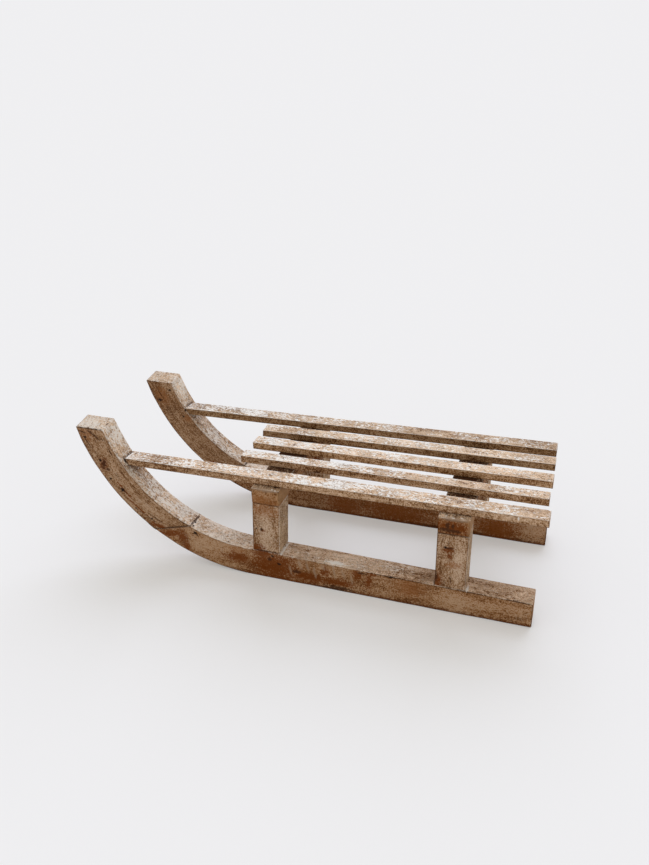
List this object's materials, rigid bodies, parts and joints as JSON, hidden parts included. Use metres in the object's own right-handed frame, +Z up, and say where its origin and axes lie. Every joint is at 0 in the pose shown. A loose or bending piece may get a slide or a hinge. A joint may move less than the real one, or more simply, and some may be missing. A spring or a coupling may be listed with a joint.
{
  "type": "wooden sledge",
  "caption": "Rustic wooden hand sledge: heavy runners upturned into curved scarfed horns, short posts, crossbars and a slatted deck.",
  "frame": {"origin": "on the ground under the centre of the sledge's bounding box", "axes": "+X forward towards the horns, +Y to the left, +Z up"},
  "size_m": [1.012, 0.34, 0.3215],
  "materials": {
    "runner_wood": "weathered bare wood with worn limewash",
    "horn_wood": "weathered bare wood with worn limewash",
    "frame_wood": "weathered bare wood with worn limewash",
    "slat_wood": "weathered bare wood, limewashed on top"
  },
  "bodies": {
    "root": {"runner_left": "runner_wood", "runner_right": "runner_wood", "horn_left": "horn_wood", "horn_right": "horn_wood", "post_front_left": "frame_wood", "post_front_right": "frame_wood", "post_rear_left": "frame_wood", "post_rear_right": "frame_wood", "crossbar_front": "frame_wood", "crossbar_rear": "frame_wood", "slat_1": "slat_wood", "slat_2": "slat_wood", "slat_3": "slat_wood", "slat_4": "slat_wood", "slat_5": "slat_wood"}
  },
  "joints": []
}
